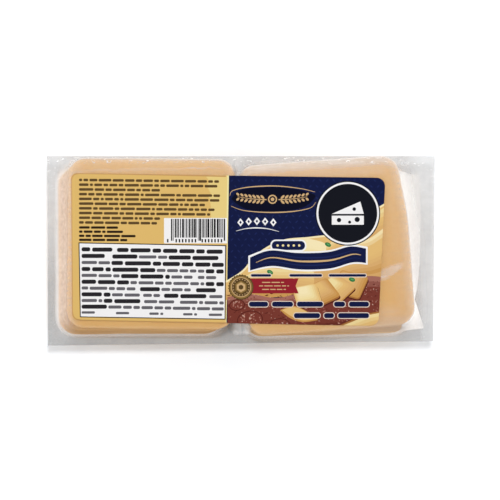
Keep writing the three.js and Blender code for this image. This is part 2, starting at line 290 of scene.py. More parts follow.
def film_material():
    """Clear film: it only veils what it stands off from, and the seal is greyer than the rest."""
    m = Mat("clear_film")
    # per-point white haze, partly painted glare, and per-point grey, partly painted shade along the lower side of the
    # seal
    haze_and_glare = m.node("ShaderNodeAttribute")
    haze_and_glare.attribute_name = "haze_and_glare"
    veil_and_shade = m.node("ShaderNodeAttribute")
    veil_and_shade.attribute_name = "veil_and_shade"
    h, g = haze_and_glare.outputs["Fac"], veil_and_shade.outputs["Fac"]
    v = m.coords()
    speck = m.noise(v, 1100.0, 2.0, 0.5)
    cloud = m.noise(v, 55.0, 4.0, 0.6)
    streak = m.noise(m.coords((0.16, 1.0, 1.0)), 330.0, 3.0, 0.55, 0.3)
    crinkle = m.noise(v, 190.0, 4.0, 0.55, 0.5)

    # how much white the film lays over its contents
    xyz = m.node("ShaderNodeSeparateXYZ")
    m.link(v, xyz.inputs[0])
    level = m.math("MULTIPLY", m.remap(xyz.outputs["Z"], 0.0180, 0.0190, 0.0, 1.0), m.remap(xyz.outputs["Z"], 0.0240, 0.0215, 0.0, 1.0))
    stripes = m.math("MULTIPLY", m.remap(streak, 0.32, 0.68, -0.16, 0.16, False), m.remap(level, 0.0, 1.0, 1.0, 0.15))
    a = m.math("MULTIPLY", h, m.math("ADD", 1.0, stripes))
    a = m.math("MULTIPLY", a, m.remap(cloud, 0.3, 0.7, 0.90, 1.10, False), True)
    # patches of painted glare: white added to the haze near the right edge of the right stack's top and in thin strips
    # along the left stack's upper edge
    for cx, cy, rx, ry, turn, amount in ((90.2, -10.0, 8.0, 2.4, 0.42, 0.27), (86.6, -14.4, 4.2, 1.6, 0.25, 0.20), (-58.0, 50.3, 36.0, 0.9, 0.025, 0.10), (-20.0, 51.0, 12.0, 0.8, -0.02, 0.12)):
        mp = m.node("ShaderNodeMapping")
        mp.vector_type = "TEXTURE"
        mp.inputs["Location"].default_value = (cx * MM, cy * MM, 0)
        mp.inputs["Rotation"].default_value = (0, 0, turn)
        mp.inputs["Scale"].default_value = (rx * MM, ry * MM, 1.0)
        warp = m.node("ShaderNodeVectorMath")
        warp.operation = "ADD"
        tiny = m.node("ShaderNodeVectorMath")
        tiny.operation = "SCALE"
        tiny.inputs["Scale"].default_value = 0.004
        wob = m.node("ShaderNodeTexNoise")
        wob.inputs["Scale"].default_value = 160.0
        m.link(v, wob.inputs["Vector"])
        m.link(wob.outputs["Color"], tiny.inputs[0])
        m.link(v, warp.inputs[0])
        m.link(tiny.outputs[0], warp.inputs[1])
        m.link(warp.outputs[0], mp.inputs["Vector"])
        flat = m.node("ShaderNodeVectorMath")
        flat.operation = "MULTIPLY"
        flat.inputs[1].default_value = (1, 1, 0)
        m.link(mp.outputs[0], flat.inputs[0])
        far = m.node("ShaderNodeVectorMath")
        far.operation = "LENGTH"
        m.link(flat.outputs[0], far.inputs[0])
        a = m.math("ADD", a, m.remap(far.outputs["Value"], 0.75, 1.25, amount, 0.0), True)
    place = m.node("ShaderNodeSeparateXYZ")
    m.link(v, place.inputs[0])
    # painted glints: white specks added to the haze on the rolled edges and the seal, along the upper side and at the
    # ends
    glint = m.remap(m.noise(m.coords((0.55, 1.0, 1.0)), 520.0, 3.0, 0.6, 0.8), 0.60, 0.66, 0.0, 0.55)
    upper = m.math("MULTIPLY", m.remap(place.outputs["Y"], 0.0510, 0.0535, 0.0, 1.0), m.remap(place.outputs["Y"], 0.0572, 0.0560, 0.0, 1.0))
    ends = m.remap(m.math("ABSOLUTE", place.outputs["X"]), 0.104, 0.112, 0.0, 0.3)
    corner = m.math("MULTIPLY", ends, m.remap(m.math("ABSOLUTE", place.outputs["Y"]), 0.034, 0.048, 0.0, 1.0))
    rolled = m.math("MAXIMUM", m.remap(place.outputs["Z"], 0.0400, 0.0425, 0.0, 1.0), m.remap(place.outputs["Z"], 0.0235, 0.0220, 0.0, 1.0))
    a = m.math("ADD", a, m.math("MULTIPLY", m.math("MULTIPLY", glint, rolled), m.math("MAXIMUM", upper, corner)), True)
    # and how much grey
    b = m.math("MULTIPLY", g, m.remap(cloud, 0.3, 0.7, 0.90, 1.10, False))
    b = m.math("ADD", b, m.math("MULTIPLY", m.remap(speck, 0.3, 0.7, -0.10, 0.10, False), g), True)

    white = m.node("ShaderNodeBsdfPrincipled")
    veiled = m.mix(m.remap(crinkle, 0.3, 0.7, 0.0, 1.0), (0.84, 0.79, 0.75, 1), (0.93, 0.88, 0.84, 1))
    veiled = m.mix(level, veiled, m.mix(m.remap(crinkle, 0.3, 0.7, 0.0, 1.0), (0.83, 0.845, 0.86, 1), (0.90, 0.91, 0.92, 1)))
    peach = m.math("MULTIPLY", m.remap(xyz.outputs["X"], -0.0995, -0.1020, 0.0, 1.0), m.remap(xyz.outputs["X"], -0.1120, -0.1100, 0.0, 1.0))
    peach = m.math("MULTIPLY", peach, m.remap(m.math("ABSOLUTE", xyz.outputs["Y"]), 0.0500, 0.0450, 0.0, 1.0))
    m.link(m.mix(peach, veiled, m.mix(m.remap(crinkle, 0.3, 0.7, 0.0, 1.0), (0.95, 0.81, 0.72, 1), (0.98, 0.85, 0.77, 1))), white.inputs["Base Color"])
    white.inputs["Roughness"].default_value = 0.45
    white.inputs["Specular IOR Level"].default_value = 0.2
    grey = m.node("ShaderNodeBsdfPrincipled")
    m.link(m.mix(m.remap(cloud, 0.3, 0.7, 0, 1), (0.33, 0.335, 0.34, 1), (0.42, 0.425, 0.43, 1)), grey.inputs["Base Color"])
    grey.inputs["Roughness"].default_value = 0.45
    grey.inputs["Specular IOR Level"].default_value = 0.2
    clear = m.node("ShaderNodeBsdfTransparent")
    clear.inputs["Color"].default_value = (0.99, 0.99, 0.99, 1)
    gloss = m.node("ShaderNodeBsdfGlossy")
    gloss.inputs["Roughness"].default_value = 0.2
    gloss.inputs["Color"].default_value = (1, 1, 1, 1)
    bump = m.bump(crinkle, 0.35, 0.0006)
    bump = m.bump(cloud, 0.3, 0.002, bump)
    m.link(bump, gloss.inputs["Normal"])
    # the fine creases that make the haze face every way, so it takes light from above on the walls too
    geo = m.node("ShaderNodeNewGeometry")
    raised = m.node("ShaderNodeVectorMath")
    raised.operation = "ADD"
    raised.inputs[1].default_value = (0, 0, 0.8)
    m.link(geo.outputs["Normal"], raised.inputs[0])
    unit = m.node("ShaderNodeVectorMath")
    unit.operation = "NORMALIZE"
    m.link(raised.outputs[0], unit.inputs[0])
    soft = m.bump(crinkle, 0.12, 0.0006, unit.outputs[0])
    for n in (white, grey):
        m.link(soft, n.inputs["Normal"])
    first = m.node("ShaderNodeMixShader")
    m.link(b, first.inputs[0])
    m.link(clear.outputs[0], first.inputs[1])
    m.link(grey.outputs[0], first.inputs[2])
    second = m.node("ShaderNodeMixShader")
    m.link(a, second.inputs[0])
    m.link(first.outputs[0], second.inputs[1])
    m.link(white.outputs[0], second.inputs[2])
    fres = m.node("ShaderNodeFresnel")
    fres.inputs["IOR"].default_value = 1.45
    m.link(bump, fres.inputs["Normal"])
    top = m.node("ShaderNodeMixShader")
    m.link(m.remap(fres.outputs[0], 0.03, 0.6, 0.02, 0.05), top.inputs[0])
    m.link(second.outputs[0], top.inputs[1])
    m.link(gloss.outputs[0], top.inputs[2])
    m.link(top.outputs[0], m.out.inputs["Surface"])
    return m.m


def label_material():
    m = Mat("label_print")
    ink = m.node("ShaderNodeAttribute")
    ink.attribute_name = "ink"
    v = m.coords()
    mottle = m.noise(v, 35.0, 3.0, 0.5)
    grain = m.noise(v, 1500.0, 2.0, 0.5)
    base = m.mix(m.remap(mottle, 0.3, 0.7, 0.0, 0.12), ink.outputs["Color"], (0.9, 0.84, 0.74, 1), "MULTIPLY")
    base = m.mix(m.remap(grain, 0.3, 0.7, 0.0, 0.08), base, (0.86, 0.85, 0.84, 1), "MULTIPLY")
    p = m.node("ShaderNodeBsdfPrincipled")
    m.link(base, p.inputs["Base Color"])
    m.link(m.remap(grain, 0.3, 0.7, 0.42, 0.55), p.inputs["Roughness"])
    p.inputs["Specular IOR Level"].default_value = 0.12
    m.link(m.bump(mottle, 0.2, 0.001, m.bump(grain, 0.1, 0.0001)), p.inputs["Normal"])
    m.link(p.outputs["BSDF"], m.out.inputs["Surface"])
    return m.m


# ---------------------------------------------------------------------------
# how the stacks' edges roll over
# ---------------------------------------------------------------------------
def roll(v, reach, depth):
    w = np.clip(v, 0.25, reach)
    return depth * (1 - np.sqrt(np.maximum(0.0, 1 - (1 - w / reach) ** 2)))


def in_from_wall(x, y, stack, z=STACK_H):
    """How far a point lies in from the outline of the stack at height z."""
    cx, cy, turn = pose(stack, z)
    dx, dy = x - cx, y - cy
    c, s = math.cos(turn), math.sin(turn)
    px = np.abs(dx * c + dy * s) - (SLICE_W / 2 - SLICE_R)
    py = np.abs(-dx * s + dy * c) - (SLICE_D / 2 - SLICE_R)
    away = np.hypot(np.maximum(px, 0), np.maximum(py, 0)) + np.minimum(np.maximum(px, py), 0)
    return SLICE_R - away


# ---------------------------------------------------------------------------
# the slices
# ---------------------------------------------------------------------------
def stack_of_slices(name, stack, seed, material):
    rng = random.Random(seed)
    arc, side = 7, 16
    v_in = [30.0, 12.0, 6.5, 4.6, 3.2, 2.0, 1.0, 0.35]
    profile = [(v, 0.0) for v in v_in] + [(0.0, 0.28), (0.0, SLICE_T - 0.28)] + [(v, SLICE_T) for v in reversed(v_in)]
    locals_ = {v: ring(SLICE_W / 2 - v, SLICE_D / 2 - v, max(0.8, SLICE_R - v), arc, side) for v in set(p[0] for p in profile)}
    n = len(locals_[0.0])
    verts, faces = [], []
    angle = np.arctan2(locals_[0.0][:, 1], locals_[0.0][:, 0])
    for i in range(SLICES):
        z0 = FILM_T + i * SLICE_T
        slack = lerp(0.8, 0.12, float(smooth((z0 - 33) / 7)))
        dx, dy, dr = slack * rng.uniform(-0.33, 0.33), slack * rng.uniform(-0.33, 0.33), slack * math.radians(rng.uniform(-0.15, 0.15))
        phase = rng.uniform(0, 6.28)
        wave = slack * (0.13 * np.sin(5 * angle + phase) + 0.09 * np.sin(11 * angle - 2 * phase))
        base = len(verts)
        for v, zr in profile:
            p = locals_[v].copy()
            k = max(0.0, 1 - v / 4.0)
            norm = p / np.maximum(1e-6, np.linalg.norm(p, axis=1))[:, None]
            p += norm * (wave * k)[:, None]
            c, s = math.cos(dr), math.sin(dr)
            p = np.stack([p[:, 0] * c - p[:, 1] * s + dx, p[:, 0] * s + p[:, 1] * c + dy], 1)
            z = z0 + zr
            w = placed(bowed(p, stack), stack, z0 + SLICE_T / 2)
            drop = float(roll(v, TOP_ROUND_IN, TOP_ROUND_Z)) * float(smooth((z - (STACK_H - 18)) / 18)) if v < TOP_ROUND_IN else 0.0
            rise = float(roll(v, FOOT_ROUND, FOOT_ROUND)) * float(smooth((12 - z) / 12)) if v < FOOT_ROUND else 0.0
            for x, y in w:
                verts.append((x, y, z - drop + rise))
        rings = len(profile)
        for j in range(rings - 1):
            a0, b0 = base + j * n, base + (j + 1) * n
            for k in range(n):
                k1 = (k + 1) % n
                faces.append((a0 + k, a0 + k1, b0 + k1, b0 + k))
        cx, cy, _ = pose(stack, z0 + SLICE_T / 2)
        verts.append((cx + dx, cy + dy, z0))
        low = len(verts) - 1
        verts.append((cx + dx, cy + dy, z0 + SLICE_T))
        high = len(verts) - 1
        last = base + (rings - 1) * n
        for k in range(n):
            k1 = (k + 1) % n
            faces.append((base + k1, base + k, low))
            faces.append((last + k, last + k1, high))
    ob = make_object(name, verts, faces, material)
    return ob


# ---------------------------------------------------------------------------
# the film: a front web and a back web, sealed together round the rim
# ---------------------------------------------------------------------------
F_ARC, F_SIDE = 14, 46
WALL_LEVELS = 26
FLAT_STEPS = 8
INNER = [6.9, 8.5, 12.0, 17.0, 24.0, 33.0, 43.0]
TL, BL, BR, TR = FLANGE_CORNERS


def valley_line(front):
    """The line between the stacks where the film sags: x = a + b * y."""
    return (-1.2, -0.035) if front else (-5.4, -0.012)


def valley_height(y, front):
    if front:
        fall = float(smooth((abs(y - 2.0) - 33) / 20.5))
        return lerp(PACK_H - 3.4, FLANGE_Z, fall)
    fall = float(smooth((abs(y - 2.0) - 31) / 22.5))
    return lerp(5.2, FLANGE_Z, fall)


def low_rim(x):
    """The lower cut edge, which runs slightly askew."""
    return BL[1] + (x - BL[0]) * (BR[1] - BL[1]) / (BR[0] - BL[0])


def end_rim(sign, y):
    """The cut edge at either end."""
    p, q = (BL, TL) if sign < 0 else (BR, TR)
    return p[0] + (y - p[1]) * (q[0] - p[0]) / (q[1] - p[1])


def from_rim(x, y):
    """How far a point lies in from the nearest cut edge."""
    return min(TL[1] - y, y - low_rim(x), x - end_rim(-1, y), end_rim(1, y) - x)


def crease(x, y, sx, sy, length, width, direction, height):
    """One sharp little fold in the seal."""
    dx, dy = x - sx, y - sy
    c, s = math.cos(direction), math.sin(direction)
    along, across = dx * c + dy * s, -dx * s + dy * c
    if along < -2 or along > length:
        return 0.0
    fade = min(1.0, (along + 2) / 3) * (1 - along / length)
    return height * fade * math.exp(-((across / width) ** 2))


FOLDS = []
_rng = random.Random(41)
for _sx, _sy, _n in ((-113, 53, 6), (-113, -52, 6), (112, 52, 8), (111, -50, 8), (-6, 55, 4), (-3, -53, 6), (-60, 56, 3), (60, 56, 3), (50, -53, 4), (-60, -55, 4)):
    for _ in range(_n):
        _toward = math.atan2(-_sy, (-_sx if abs(_sx) > 70 else _rng.uniform(-60, 60)))
        FOLDS.append((_sx + _rng.uniform(-8, 8), _sy + _rng.uniform(-4, 4), _rng.uniform(7, 18), _rng.uniform(0.5, 1.2), _toward + _rng.uniform(-0.9, 0.9), _rng.uniform(-0.35, 0.42)))


def wave(x, y):
    """The waviness of the seal, the same for both webs and for what lies between them."""
    w = 0.22 * fbm(x, y, 0.0, 17, 3.1, 2) + 0.07 * fbm(x, y, 0.0, 4.5, 8.7, 2)
    for f in FOLDS:
        w += crease(x, y, *f)
    return w * min(1.0, max(0.0, from_rim(x, y)) / 2.5 + 0.25)


def half_web(stack, sign, front):
    """Rings of one half of one web, from its outer boundary to the middle of the stack."""
    a, b = valley_line(front)
    cx, cy, _ = pose(stack, FLANGE_Z)
    z_end = PACK_H if front else 0.0

    # this half's outline, with the valley as one of its sides
    top_v = (a + b * TL[1], TL[1])
    slope = (BR[1] - BL[1]) / (BR[0] - BL[0])
    y_low = (BL[1] + slope * (a - BL[0])) / (1 - slope * b)
    low_v = (a + b * y_low, y_low)
    if sign < 0:
        sides = [(TL, BL, False), (BL, low_v, False), (low_v, top_v, True), (top_v, TL, False)]
    else:
        sides = [(TR, BR, False), (BR, low_v, False), (low_v, top_v, True), (top_v, TR, False)]

    cache = {}

    def film_ring(v):
        key = round(v, 3)
        if key not in cache:
            hw, hd = SLICE_W / 2 - key, SLICE_D / 2 - key
            cache[key] = bowed(ring(hw, hd, min(corner_r(key), hw - 1, hd - 1), F_ARC, F_SIDE), stack)
        return cache[key]

    guide = placed(film_ring(0.0), stack, FLANGE_Z)
    n = len(guide)
    edge, on_valley = [], []
    for x, y in guide:
        dx, dy = x - cx, y - cy
        hits = []
        for (px, py), (qx, qy), val in sides:
            ex, ey = qx - px, qy - py
            den = dx * ey - dy * ex
            if abs(den) < 1e-12:
                continue
            t = ((px - cx) * ey - (py - cy) * ex) / den
            u = ((px - cx) * dy - (py - cy) * dx) / den
            if t > 0 and -1e-9 <= u <= 1 + 1e-9:
                hits.append((t, val))
        t, v = min(hits)
        edge.append((cx + t * dx, cy + t * dy))
        on_valley.append(v)
    edge = np.array(edge)
    for corner in (sides[0][0], sides[0][1], low_v, top_v):
        k = int(np.argmin(np.hypot(edge[:, 0] - corner[0], edge[:, 1] - corner[1])))
        edge[k] = corner
        on_valley[k] = False
    z_b = np.array([valley_height(e[1], front) if v else FLANGE_Z for e, v in zip(edge, on_valley)])

    local0 = film_ring(0.0)
    tan = np.roll(local0, -1, 0) - np.roll(local0, 1, 0)
    normal = np.stack([tan[:, 1], -tan[:, 0]], 1)
    normal /= np.linalg.norm(normal, axis=1)[:, None]

    def wall_point(k, v, z):
        """Offset v inwards of outline point k, placed at height z."""
        p = film_ring(v)[k]
        px, py, turn = pose(stack, z)
        c, s = math.cos(turn), math.sin(turn)
        return px + p[0] * c - p[1] * s, py + p[0] * s + p[1] * c

    def inset(z):
        v = 0.0
        if front:
            d = z - (PACK_H - TOP_ROUND_Z)
            if d > 0:
                v = TOP_ROUND_IN * (1 - math.sqrt(max(0.0, 1 - (d / TOP_ROUND_Z) ** 2)))
            return v - lerp(0.24, 0.6, float(smooth((45.5 - z) / 7)))
        d = FOOT_ROUND - z
        if d > 0:
            v = FOOT_ROUND * (1 - math.sqrt(max(0.0, 1 - (d / FOOT_ROUND) ** 2)))
        return v - lerp(0.15, 0.5, float(smooth((z - 1.5) / 5)))

    def look(k, z, v):
        """White haze of the film on this part of the wall or of the rolled edge, partly painted glare, which is
        strongest on the rolled edge that faces the top of the picture.
        """
        nx, ny = normal[k]
        up, down = max(0.0, ny) ** 2, max(0.0, -ny) ** 2
        out_, in_ = max(0.0, nx * sign) ** 2, max(0.0, -nx * sign) ** 2
        if not front:
            return 0.06 + 0.12 * float(smooth((z - 3) / 14))
        in_ *= 1 - 0.85 * float(smooth((-22 - local0[k][1]) / 18))
        low = float(smooth((41.5 - z) / 6))
        far = float(smooth((local0[k][0] + 10) / 55))
        if z >= PACK_H - TOP_ROUND_Z:
            q = 1 - max(0.0, v) / TOP_ROUND_IN  # none at the flat top, one at the wall
            if sign < 0:
                lower = float(smooth((20 - local0[k][1]) / 50))
                return up * (0.12 + 0.30 * q**4) + down * 0.01 + out_ * (lerp(0.24, 0.22, lower) + 0.10 * q**2) + in_ * (0.10 + 0.18 * q)
            return (
                up * (0.20 + 0.34 * float(smooth(q * 1.5)))
                + down * lerp(0.03 + 0.05 * q, 0.16 + 0.12 * q, far)
                + out_ * (0.10 + 0.22 * q)
                + in_ * (0.12 + 0.22 * q)
            )
        if sign < 0:
            return up * (0.34 - 0.24 * low) + down * 0.03 + out_ * (0.34 + 0.12 * low) + in_ * (0.34 + 0.12 * low)
        return up * (0.54 - 0.40 * low) + down * lerp(0.08, 0.28, far) + out_ * (0.25 - 0.10 * low) + in_ * (0.32 + 0.12 * low)

    def seal(k, x, y):
        """Haze of the front web where it is loose or flat, with the seal's painted light and shade: like the wall's
        haze and painted glare where the foot of a stack shows.
        """
        nx, ny = normal[k]
        up, down = max(0.0, ny) ** 2, max(0.0, -ny) ** 2
        out_, in_ = max(0.0, nx * sign) ** 2, max(0.0, -nx * sign) ** 2
        foot = up * 0.3 + down * 0.11 + out_**2 * (0.40 if sign < 0 else 0.12) + in_ * (0.3 if local0[k][1] > -22 else 0.06)
        return lerp(flange_haze_and_painted_light(front, x, y), foot if front else 0.03, over_foot(x, y))

    outs = []
    for k in range(n):
        wx, wy = wall_point(k, inset(z_b[k]), z_b[k])
        d = math.hypot(edge[k][0] - wx, edge[k][1] - wy)
        want = TENT_OUT
        if sign > 0 and front and not on_valley[k]:
            want += SHEETS_OUT * float(smooth(local0[k][0] / 40))
        outs.append(min(want, 0.8 * d))
    outs = np.array(outs)
    for _ in range(6):
        outs = (np.roll(outs, 1) + 2 * outs + np.roll(outs, -1)) / 4

    columns = []
    for k in range(n):
        col = []
        zb = z_b[k]
        levels = []
        for j in range(WALL_LEVELS + 1):
            z = zb + (z_end - zb) * (0.5 - 0.5 * math.cos(math.pi * j / WALL_LEVELS))
            v = inset(z)
            x, y = wall_point(k, v - outs[k] * math.exp(-abs(z - zb) / TENT_FADE), z)
            # stay inside the cut edges
            x = min(max(x, end_rim(-1, y) + 0.25), end_rim(1, y) - 0.25)
            y = min(max(y, low_rim(x) + 0.25), TL[1] - 0.25)
            off = math.exp(-abs(z - zb) / (TENT_FADE * 1.3))
            loose = 0.0 if on_valley[k] and abs(z_b[k] - FLANGE_Z) > 8 else off
            hz = look(k, z, v)
            if front:
                hz = max(hz, in_gap(x, y))
            grey = off * flange_veil_and_painted_shade(False, x, y) * (1 - over_foot(x, y))
            if front:
                grey = 0.26 * off * max(0.0, normal[k][0] * sign) ** 2 if sign < 0 else 0.0
            levels.append((x, y, z, lerp(hz, seal(k, x, y), 0.8 * loose), grey, loose))
        x0, y0 = levels[0][:2]
        low_part = 1 - min(1.0, abs(zb - FLANGE_Z) / 14.0)
        for j in range(FLAT_STEPS):
            t = j / FLAT_STEPS
            x, y = lerp(edge[k][0], x0, t), lerp(edge[k][1], y0, t)
            clear = 1 - over_foot(x, y)
            col.append((x, y, zb, seal(k, x, y), flange_veil_and_painted_shade(front, x, y) * low_part * lerp(0.06, 1.0, clear), low_part))
        col.extend(levels)
        columns.append(col)
    depth = len(columns[0])
    rings = [[columns[k][j] for k in range(n)] for j in range(depth)]
    flat = 0.02 if front else 0.04
    for v in INNER:
        p = placed(film_ring(v), stack, STACK_H if front else 0.0)
        extra = []
        for k in range(n):
            e = flat
            if front and v < 13:
                t = float(smooth((14.5 - v) / 6))
                e = t * look(k, PACK_H, TOP_ROUND_IN) + (1 - t) * flat
            extra.append(e)
        rings.append([(x, y, z_end, e, 0.0, 0.0) for (x, y), e in zip(p, extra)])
    px, py, _ = pose(stack, STACK_H if front else 0.0)
    return rings, (px, py, z_end, flat, 0.0)


def over_foot(x, y):
    """One over the foot of a stack, which shows through both webs, and nought over the bare seal."""
    return max(float(smooth((float(in_from_wall(np.float64(x), np.float64(y), s, 6.0)) + 2.0) / 2.0)) for s in (LEFT, RIGHT))


def painted_seal_light(x, y):
    """Painted light and shade on the seal: darkest along the lower side, where the stacks shade it, lightest at the
    ends and the upper right.
    """
    ends = float(smooth((abs(x) - 98) / 14))
    across = float(smooth((x + 118) / 236))
    left = lerp(0.30, 1.35, float(smooth((y + 28) / 48)))
    right = 1.45 + 0.45 * float(smooth((y - 10) / 35)) - 0.30 * float(smooth((-35 - y) / 15))
    middle = lerp(lerp(-0.15, 0.22, across), 0.95, float(smooth((y + 40) / 60)))
    return lerp(middle, lerp(left, right, across), ends)


def in_gap(x, y):
    """How white the film is where it bridges the gap between the stacks: a little haze near the upper edge, and a patch
    of painted glare near the lower edge.
    """
    if y > 0:
        return 0.12 * float(smooth((6.5 - abs(x - VALLEY_X)) / 4)) * float(smooth((y - 42) / 8))
    along = float(smooth((-42.5 - y) / 2.5)) * float(smooth((y + 51.5) / 2.5))
    return 0.95 * float(smooth((6.5 - abs(x - 0.4)) / 3)) * along


# white haze on the seal, raised where the seal is painted light and by the painted glare in the gap
def flange_haze_and_painted_light(front, x, y):
    if not front:
        return 0.03
    sheets = float(smooth((x - 94) / 4)) * float(smooth((111 - x) / 3)) * float(smooth((-22 - y) / 8))
    return max(0.0, 0.05 + 0.25 * painted_seal_light(x, y)) * (1 - 0.75 * sheets) + in_gap(x, y)


# grey on the seal, deeper where the seal is painted in shade along its lower side
def flange_veil_and_painted_shade(front, x, y):
    if front:
        return 0.08 * (1 - float(smooth((x - 94) / 4)) * float(smooth((110 - x) / 3)))
    return (0.80 - 0.22 * painted_seal_light(x, y)) * (1 - 0.8 * min(1.0, in_gap(x, y)))


def film_mesh():
    verts, haze_and_glare, veil_and_shade, faces = [], [], [], []
    edges_at = {}
    for front in (True, False):
        for stack, sign in ((LEFT, -1), (RIGHT, 1)):
            rings, centre = half_web(stack, sign, front)
            n = len(rings[0])
            base = len(verts)
            edges_at[front, sign] = range(base, base + n)
            for row in rings:
                for x, y, z, h, g, loose in row:
                    zz = z + wave(x, y) * loose
                    zz += (0.15 if front else -0.15) * float(smooth(loose * 2))
                    if front and z > 20.5:
                        # loose film on the walls puckers a little
                        zz += 0.10 * fbm(x, y, z, 6, 5.0, 2) * (1 - loose) * float(smooth((z - 22) / 6)) * float(smooth((46.2 - z) / 3))
                    verts.append((x, y, max(0.01, float(zz))))
                    haze_and_glare.append(float(h))
                    veil_and_shade.append(float(g))
            verts.append(centre[:3])
            haze_and_glare.append(centre[3])
            veil_and_shade.append(0.0)
            c = len(verts) - 1
            for j in range(len(rings) - 1):
                a0, b0 = base + j * n, base + (j + 1) * n
                for k in range(n):
                    k1 = (k + 1) % n
                    q = (a0 + k, a0 + k1, b0 + k1, b0 + k)
                    faces.append(q if front else q[::-1])
            last = base + (len(rings) - 1) * n
            for k in range(n):
                k1 = (k + 1) % n
                q = (last + k, last + k1, c)
                faces.append(q if front else q[::-1])
    return verts, haze_and_glare, veil_and_shade, faces, edges_at


def make_film(material):
    verts, haze_and_glare, veil_and_shade, faces, edges_at = film_mesh()
    me = bpy.data.meshes.new("film")
    me.from_pydata([tuple(c * MM for c in v) for v in verts], [], faces)
    for name, values in (("haze_and_glare", haze_and_glare), ("veil_and_shade", veil_and_shade)):
        att = me.attributes.new(name, "FLOAT", "POINT")
        att.data.foreach_set("value", values)
    ob = bpy.data.objects.new("film", me)
    bpy.context.scene.collection.objects.link(ob)
    bm = bmesh.new()
    bm.from_mesh(me)
    bm.verts.ensure_lookup_table()
    # the two halves of each web meet along the valley
    halves = {key: [bm.verts[i] for i in where] for key, where in edges_at.items()}
    for front in (True, False):
        a, b = valley_line(front)
        left, right = ([v for v in halves[front, sign] if abs(v.co.x / MM - (a + b * v.co.y / MM)) < 0.02] for sign in (-1, 1))
        stitch(bm, left, right)
    bmesh.ops.remove_doubles(bm, verts=list(bm.verts), dist=0.00001)
    # and the two webs meet round the rim
    loops = boundary_loops(bm)
    if len(loops) == 2:
        bmesh.ops.bridge_loops(bm, edges=[e for lp in loops for e in lp])
    bmesh.ops.triangulate(bm, faces=[f for f in bm.faces if len(f.verts) > 3])
    bmesh.ops.recalc_face_normals(bm, faces=list(bm.faces))
    bm.to_mesh(me)
    open_edges = sum(1 for e in bm.edges if not e.is_manifold)
    print("film: open or odd edges", open_edges, "loops", len(loops), "faces", len(bm.faces))
    bm.free()
    me.materials.append(material)
    me.polygons.foreach_set("use_smooth", [True] * len(me.polygons))
    return ob


def stitch(bm, left, right):
    """Joins two rows of boundary vertices along one line by sharing their places."""
    if not left or not right:
        return
    left.sort(key=lambda v: v.co.y)
    right.sort(key=lambda v: v.co.y)
    lm, rm = list(left), list(right)
    m = min(len(lm), len(rm))
    # give both rows the same number of points by splitting the shorter row's longest edges
    for row in (lm, rm):
        while len(row) < max(len(lm), len(rm)):
            gaps = [(row[i + 1].co.y - row[i].co.y, i) for i in range(len(row) - 1)]
            _, i = max(gaps)
            e = bm.edges.get((row[i], row[i + 1]))
            if e is None:
                return
            _, nv = bmesh.utils.edge_split(e, row[i], 0.5)
            row.insert(i + 1, nv)
    for p, q in zip(lm, rm):
        mid = (p.co + q.co) / 2
        p.co = mid
        q.co = mid


def boundary_loops(bm):
    edges = set(e for e in bm.edges if e.is_boundary)
    loops = []
    while edges:
        e = edges.pop()
        loop = [e]
        stack = list(e.verts)
        while stack:
            v = stack.pop()
            for f in v.link_edges:
                if f in edges:
                    edges.remove(f)
                    loop.append(f)
                    stack.append(f.other_vert(v))
        loops.append(loop)
    return loops


# ---------------------------------------------------------------------------
# the loose sheets between slices, which stick out on the right
# ---------------------------------------------------------------------------
def picture_xy(px, py, z=FLANGE_Z):
    """A place in the picture to the pack's frame, at height z."""
    k = UNIT * (CAM_DIST - (z - FLANGE_Z)) / CAM_DIST
    return CAM_X + (px - 250) * k, CAM_Y + (250 - py) * k


def sheet(name, rows, lift, material, thick=0.10):
    """rows: (y, x of the outer edge) in picture places, from top to bottom."""
    rows = [picture_xy(x, y) for y, x in rows]
    ny, nx = 60, 30
    ys = np.linspace(rows[0][1], rows[-1][1], ny)
    xs_out = np.interp(-ys, [-r[1] for r in rows], [r[0] for r in rows])
    top = []
    for y, xo in zip(ys, xs_out):
        # the wall of the stack at this y
        lo, hi = 60.0, 117.0
        for _ in range(30):
            mid = (lo + hi) / 2
            if in_from_wall(np.float64(mid), np.float64(y), RIGHT, 28.0) > 0:
                lo = mid
            else:
                hi = mid
        wall = lo - float(bow(49.0, y - 2.5))
        line = []
        for i in range(nx):
            t = i / (nx - 1)
            x = lerp(max(wall - 1.5, 97.0 if y < -38 else wall - 1.5), max(xo, wall - 1.0), t**0.8)
            d = max(0.05, x - wall)
            z = FLANGE_Z + TENT_FADE * math.log(max(1.0, (TENT_OUT + SHEETS_OUT) / d)) - 0.5
            z = max(min(z, 29.0), FLANGE_Z - 0.02)
            flat = 1 - float(smooth((z - FLANGE_Z - 0.5) / 3))
            beyond = float(smooth((-38 - y) / 5))  # past the other sheets it lies midway between the webs
            z += lift * (0.25 * (1 - beyond) + 0.75 * (1 - flat)) + wave(x, y) * flat + 0.04 * beyond * flat
            z += 0.06 * fbm(x, y, 0, 9, 2.2, 2) * (1 - flat)
            line.append((x, y, z))
        top.append(line)
    verts = [p for line in top for p in line]
    n = len(verts)
    verts += [(x, y, z - thick) for x, y, z in verts]
    faces = []
    ix = lambda j, i: j * nx + i
    for j in range(ny - 1):
        for i in range(nx - 1):
            q = (ix(j, i), ix(j + 1, i), ix(j + 1, i + 1), ix(j, i + 1))
            faces.append(q)
            faces.append(tuple(n + k for k in reversed(q)))
    rim = [ix(0, i) for i in range(nx)] + [ix(j, nx - 1) for j in range(1, ny)] + [ix(ny - 1, i) for i in range(nx - 2, -1, -1)] + [ix(j, 0) for j in range(ny - 2, 0, -1)]
    for a, b in zip(rim, rim[1:] + rim[:1]):
        faces.append((a, b, n + b, n + a))
    ob = make_object(name, verts, faces, material)
    bm = bmesh.new()
    bm.from_mesh(ob.data)
    bmesh.ops.recalc_face_normals(bm, faces=list(bm.faces))
    bm.to_mesh(ob.data)
    bm.free()
    return ob


# ---------------------------------------------------------------------------
# the label: printed shapes laid over each other, then cut into one mesh
# ---------------------------------------------------------------------------
LABEL_Z = PACK_H + 0.35
LABEL_THICK = 0.2


